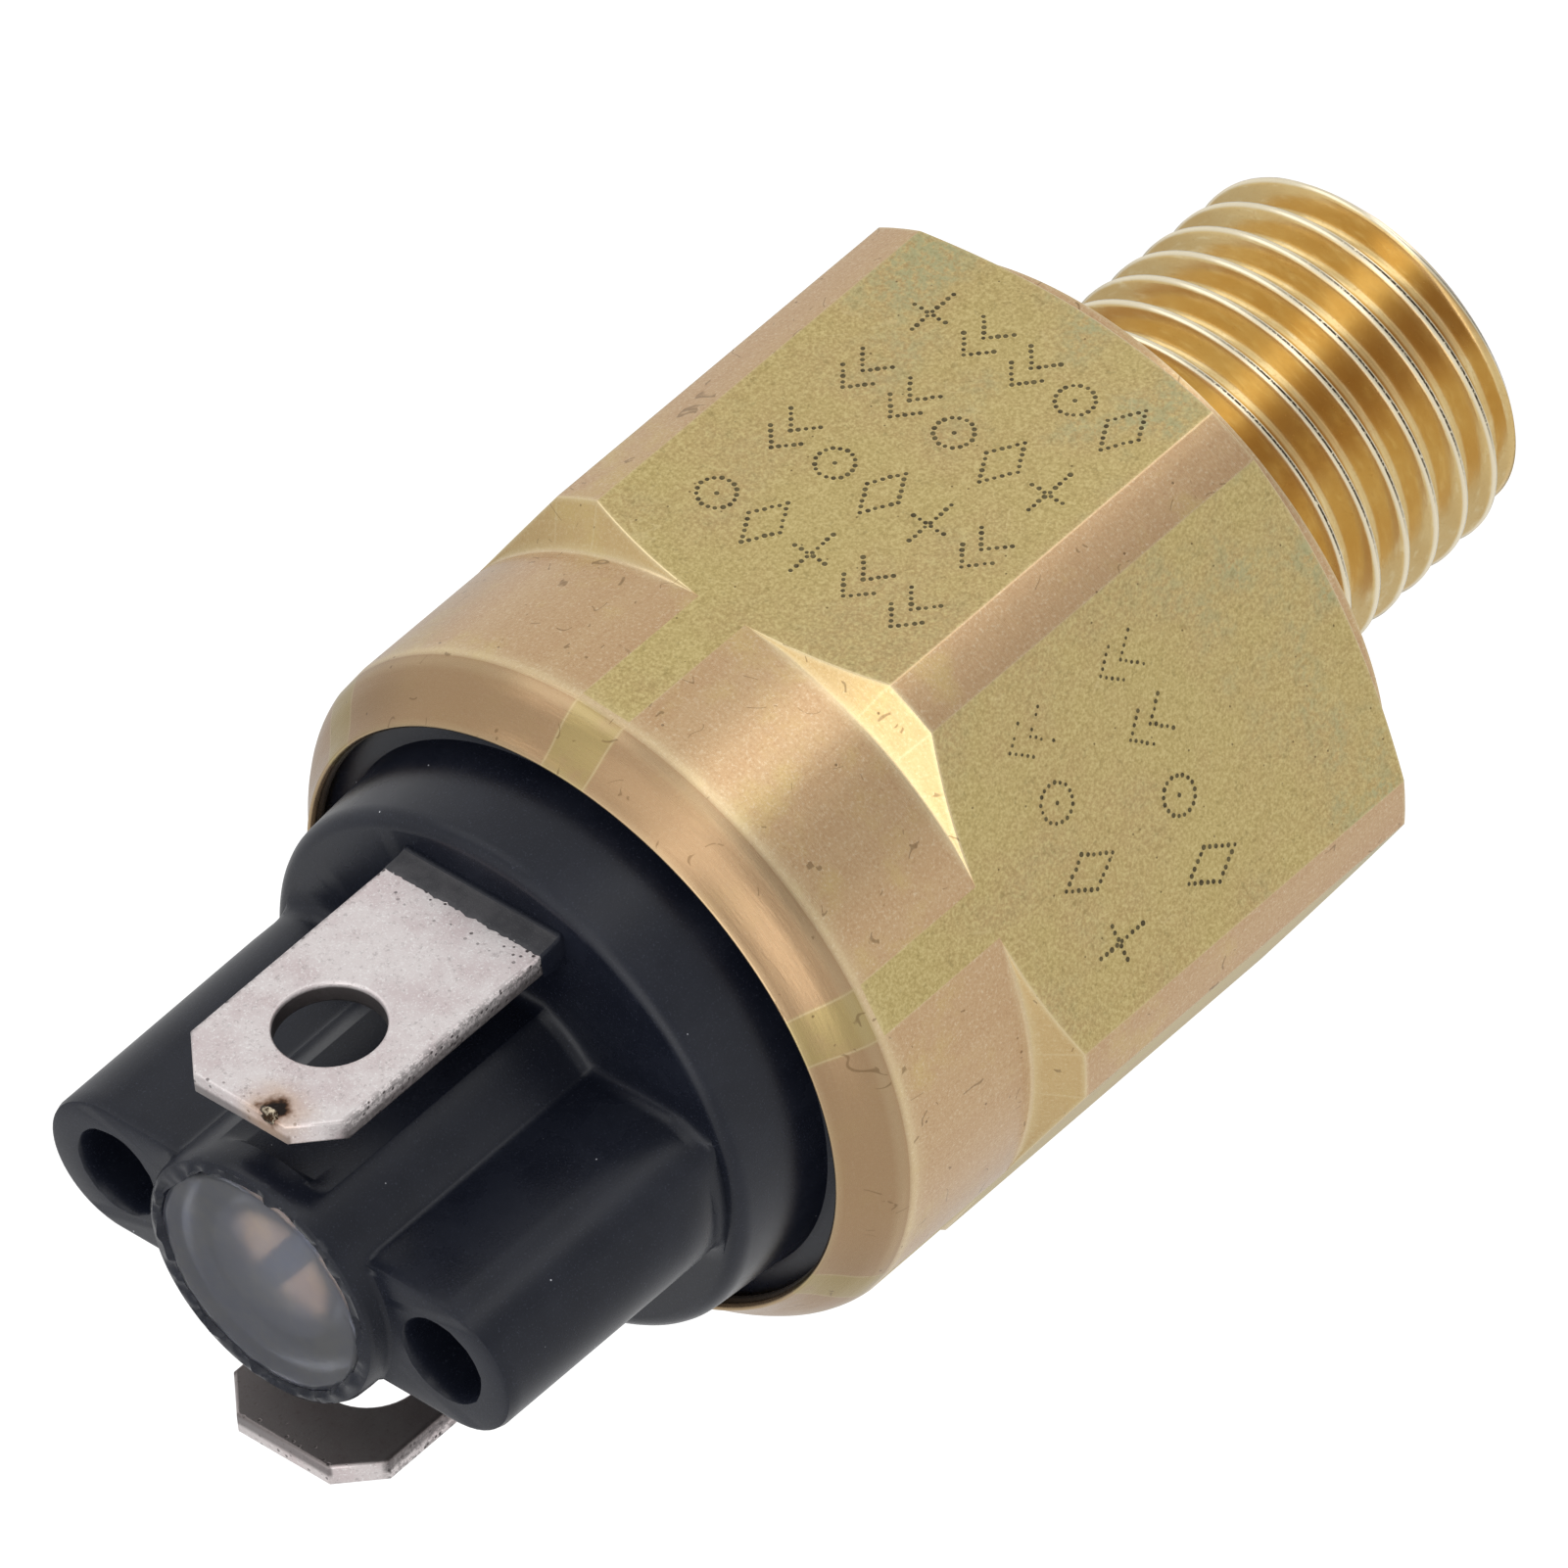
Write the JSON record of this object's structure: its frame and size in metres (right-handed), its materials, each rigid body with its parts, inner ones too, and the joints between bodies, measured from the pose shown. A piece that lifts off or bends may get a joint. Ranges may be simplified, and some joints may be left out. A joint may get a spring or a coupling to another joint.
{
  "type": "pressure switch",
  "caption": "Normally open diaphragm pressure switch: hexagon body with a tapered port thread, crimped plastic socket and blade terminals.",
  "frame": {"origin": "centre of the hexagon's shoulder, the face that meets the port's boss, on the body's axis", "axes": "+Z runs along the axis from the port thread to the terminals, +X through the two boss holes, and +Y out of the front terminal's face"},
  "size_m": [0.0266, 0.0248, 0.0504],
  "materials": {
    "chromated_steel": "turned, zinc plated and yellow chromated, satin",
    "zinc_steel": "zinc plated",
    "diaphragm_rubber": "moulded, matt",
    "liner_plastic": "moulded, natural",
    "aluminium": "turned",
    "spring_steel": "drawn wire",
    "contact_brass": "satin",
    "contact_silver": "satin",
    "tinned_brass": "stamped, tin plated, satin",
    "black_plastic": "moulded, glass filled, satin",
    "screw_brass": "turned, dull",
    "sealing_compound": "cloudy, translucent, glossy"
  },
  "bodies": {
    "housing": {"hex_body": "chromated_steel", "diaphragm": "diaphragm_rubber", "clamping_ring": "zinc_steel", "contact_liner": "liner_plastic", "contact_rivet_front": "contact_silver", "contact_rivet_rear": "contact_silver", "terminal_front": "tinned_brass", "terminal_rear": "tinned_brass", "socket_gasket": "diaphragm_rubber", "socket_base": "black_plastic", "threaded_bush": "contact_brass", "sealing_compound": "sealing_compound"},
    "piston": {"piston": "aluminium", "plunger": "liner_plastic", "disc_retainer": "zinc_steel", "contact_spring": "spring_steel", "setting_spring": "spring_steel"},
    "contact_disc": {"contact_disc": "contact_brass"},
    "spring_cap": {"spring_cap": "contact_brass"},
    "adjusting_screw": {"adjusting_screw": "screw_brass"}
  },
  "joints": [
    {"name": "piston_lift", "type": "slide", "parent": "housing", "child": "piston", "axis": [0, 0, 1], "range_m": [0, 0.0005], "stiffness_N_per_m": 3000, "springref_m": -0.0005, "deforming": ["setting_spring", "diaphragm"]},
    {"name": "contact_overtravel", "type": "slide", "parent": "piston", "child": "contact_disc", "axis": [0, 0, -1], "range_m": [0, 0.0002], "stiffness_N_per_m": 800, "springref_m": -0.0002, "deforming": ["contact_spring"]},
    {"name": "cap_feed", "type": "slide", "parent": "housing", "child": "spring_cap", "axis": [0, 0, -1], "range_m": [0, 0.0008]},
    {"name": "screw_turn", "type": "hinge", "parent": "spring_cap", "child": "adjusting_screw", "pos_m": [0, 0, 0.0338], "axis": [0, 0, -1], "range_deg": [0, 360]}
  ],
  "couplings": [
    {"joint": "screw_turn", "follows": "cap_feed", "rad_per_m": 7854}
  ]
}
